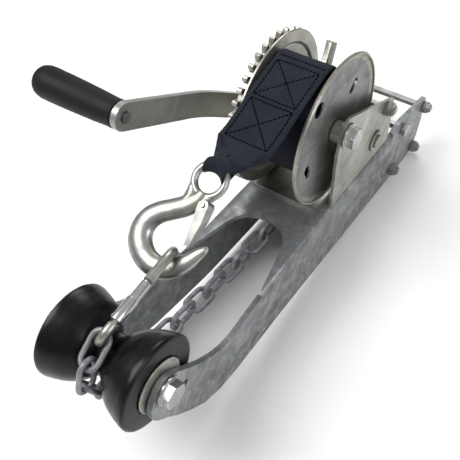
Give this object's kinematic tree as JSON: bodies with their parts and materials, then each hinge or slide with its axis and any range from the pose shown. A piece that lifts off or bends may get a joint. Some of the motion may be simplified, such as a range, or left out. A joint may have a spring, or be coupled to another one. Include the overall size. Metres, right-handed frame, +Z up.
{
  "type": "boat trailer winch",
  "caption": "Geared hand winch for a boat trailer on a forked bow-roller bracket, with webbing strap, latched hook, snap and safety chain.",
  "frame": {"origin": "middle of the post clamp, between the two bracket flanges and the four cross bolts", "axes": "+X back to the winch post, -X to the bow roller, +Y to the crank side, +Z up"},
  "size_m": [0.5263, 0.2539, 0.2315],
  "materials": {
    "galvanised": "hot-dip galvanised, mottled",
    "zinc_plate": "zinc plated, satin",
    "bright_zinc": "bright zinc plated",
    "chain_grey": "dull grey zinc",
    "black_rubber": "moulded rubber, satin",
    "grip_plastic": "moulded, matte",
    "webbing": "woven webbing"
  },
  "bodies": {
    "winch_head": {"winch_bracket": "galvanised", "winch_frame": "zinc_plate", "post_bolt_upper_rear": "galvanised", "post_nut_upper_rear": "galvanised", "post_bolt_upper_front": "galvanised", "post_nut_upper_front": "galvanised", "post_bolt_lower_rear": "galvanised", "post_nut_lower_rear": "galvanised", "post_bolt_lower_front": "galvanised", "post_nut_lower_front": "galvanised", "base_bolt_near": "zinc_plate", "base_bolt_far": "zinc_plate", "chain_bolt": "zinc_plate", "chain_nut": "zinc_plate", "drum_axle_bolt": "bright_zinc", "drum_axle_nut": "zinc_plate", "drum_spacer": "zinc_plate", "shaft_bush": "zinc_plate", "pawl_bolt": "zinc_plate", "pawl_nut": "bright_zinc", "pawl_spring": "bright_zinc", "roller_bolt": "bright_zinc", "roller_nut": "zinc_plate", "roller_washer_near": "zinc_plate", "roller_washer_far": "zinc_plate", "strap_lead": "webbing"},
    "drum": {"drum_barrel": "zinc_plate", "drum_flange_near": "zinc_plate", "drum_flange_gear": "zinc_plate", "drum_gear": "zinc_plate", "strap_coil": "webbing"},
    "crank": {"crank_shaft": "zinc_plate", "pinion": "zinc_plate", "crank_arm": "zinc_plate", "crank_nut": "bright_zinc", "grip_bolt": "zinc_plate"},
    "grip": {"crank_grip": "grip_plastic"},
    "pawl": {"ratchet_pawl": "zinc_plate"},
    "roller": {"bow_roller": "black_rubber"},
    "hook": {"hook_body": "bright_zinc", "latch_rivet": "zinc_plate"},
    "latch": {"hook_latch": "zinc_plate"},
    "snap": {"snap_body": "bright_zinc", "gate_pin": "zinc_plate"},
    "gate": {"snap_gate": "bright_zinc"},
    "link_01": {"chain_link_01": "chain_grey"},
    "link_02": {"chain_link_02": "chain_grey"},
    "link_03": {"chain_link_03": "chain_grey"},
    "link_04": {"chain_link_04": "chain_grey"},
    "link_05": {"chain_link_05": "chain_grey"},
    "link_06": {"chain_link_06": "chain_grey"},
    "link_07": {"chain_link_07": "chain_grey"},
    "link_08": {"chain_link_08": "chain_grey"},
    "link_09": {"chain_link_09": "chain_grey"},
    "link_10": {"chain_link_10": "chain_grey"},
    "link_11": {"chain_link_11": "chain_grey"},
    "link_12": {"chain_link_12": "chain_grey"},
    "link_13": {"chain_link_13": "chain_grey"},
    "link_14": {"chain_link_14": "chain_grey"},
    "link_15": {"chain_link_15": "chain_grey"}
  },
  "joints": [
    {"name": "drum_spin", "type": "hinge", "parent": "winch_head", "child": "drum", "pos_m": [-0.1695, 0, 0.12], "axis": [0, 1, 0], "continuous": true},
    {"name": "crank_spin", "type": "hinge", "parent": "winch_head", "child": "crank", "pos_m": [-0.09956, 0, 0.06496], "axis": [0, 1, 0], "continuous": true},
    {"name": "grip_spin", "type": "hinge", "parent": "crank", "child": "grip", "pos_m": [-0.30342, 0, 0.16839], "axis": [0, 1, 0], "continuous": true},
    {"name": "pawl_tilt", "type": "hinge", "parent": "winch_head", "child": "pawl", "pos_m": [-0.0815, 0, 0.094], "axis": [0, 1, 0], "range_deg": [-12, 0]},
    {"name": "roller_spin", "type": "hinge", "parent": "winch_head", "child": "roller", "pos_m": [-0.4445, 0, 0.08], "axis": [0, 1, 0], "continuous": true},
    {"name": "hook_twist", "type": "hinge", "parent": "winch_head", "child": "hook", "pos_m": [-0.30604, 0, 0.16568], "axis": [-0.7986, 0, -0.6018], "range_deg": [-3, 3]},
    {"name": "latch_tilt", "type": "hinge", "parent": "hook", "child": "latch", "pos_m": [-0.33199, -0.0069, 0.14613], "axis": [-0.6018, 0, 0.7986], "range_deg": [-30, 0]},
    {"name": "snap_twist", "type": "hinge", "parent": "winch_head", "child": "snap", "pos_m": [-0.36442, 0.001, 0.12169], "axis": [-0.9901, -0.0112, -0.1396], "range_deg": [-4, 4]},
    {"name": "gate_tilt", "type": "hinge", "parent": "snap", "child": "gate", "pos_m": [-0.43731, -0.00585, 0.12371], "axis": [-0.072, 0.8956, 0.439], "range_deg": [0, 20]},
    {"name": "link_01_twist", "type": "hinge", "parent": "winch_head", "child": "link_01", "pos_m": [-0.45816, 0, 0.10575], "axis": [-0.8312, 0, -0.5559], "range_deg": [-3, 3]},
    {"name": "link_02_twist", "type": "hinge", "parent": "winch_head", "child": "link_02", "pos_m": [-0.47112, 0, 0.08856], "axis": [-0.3061, 0, -0.952], "range_deg": [-3, 3]},
    {"name": "link_03_twist", "type": "hinge", "parent": "winch_head", "child": "link_03", "pos_m": [-0.46952, 0, 0.06751], "axis": [0.4467, 0, -0.8947], "range_deg": [-3, 3]},
    {"name": "link_04_twist", "type": "hinge", "parent": "winch_head", "child": "link_04", "pos_m": [-0.45366, 0, 0.05358], "axis": [0.9449, 0, -0.3274], "range_deg": [-3, 3]},
    {"name": "link_05_twist", "type": "hinge", "parent": "winch_head", "child": "link_05", "pos_m": [-0.43155, 0, 0.0477], "axis": [0.9825, 0, -0.1861], "range_deg": [-8, 8]},
    {"name": "link_06_twist", "type": "hinge", "parent": "winch_head", "child": "link_06", "pos_m": [-0.40888, 0, 0.04357], "axis": [0.9851, 0, -0.1722], "range_deg": [-8, 8]},
    {"name": "link_07_twist", "type": "hinge", "parent": "winch_head", "child": "link_07", "pos_m": [-0.38621, 0, 0.03977], "axis": [0.9874, 0, -0.1582], "range_deg": [-8, 8]},
    {"name": "link_08_twist", "type": "hinge", "parent": "winch_head", "child": "link_08", "pos_m": [-0.36353, 0, 0.0363], "axis": [0.9896, 0, -0.1441], "range_deg": [-8, 8]},
    {"name": "link_09_twist", "type": "hinge", "parent": "winch_head", "child": "link_09", "pos_m": [-0.34086, 0, 0.03317], "axis": [0.9915, 0, -0.1299], "range_deg": [-8, 8]},
    {"name": "link_10_twist", "type": "hinge", "parent": "winch_head", "child": "link_10", "pos_m": [-0.31819, 0, 0.03036], "axis": [0.9933, 0, -0.1157], "range_deg": [-8, 8]},
    {"name": "link_11_twist", "type": "hinge", "parent": "winch_head", "child": "link_11", "pos_m": [-0.29552, 0, 0.02789], "axis": [0.9949, 0, -0.1014], "range_deg": [-8, 8]},
    {"name": "link_12_twist", "type": "hinge", "parent": "winch_head", "child": "link_12", "pos_m": [-0.27285, 0, 0.02574], "axis": [0.9962, 0, -0.087], "range_deg": [-8, 8]},
    {"name": "link_13_twist", "type": "hinge", "parent": "winch_head", "child": "link_13", "pos_m": [-0.25018, 0, 0.02393], "axis": [0.9974, 0, -0.0725], "range_deg": [-8, 8]},
    {"name": "link_14_twist", "type": "hinge", "parent": "winch_head", "child": "link_14", "pos_m": [-0.22751, 0, 0.02245], "axis": [0.9983, 0, -0.058], "range_deg": [-8, 8]},
    {"name": "link_15_twist", "type": "hinge", "parent": "winch_head", "child": "link_15", "pos_m": [-0.20484, 0, 0.02129], "axis": [0.9991, 0, -0.0435], "range_deg": [-8, 8]}
  ],
  "couplings": [
    {"joint": "crank_spin", "follows": "drum_spin", "ratio": -4}
  ]
}
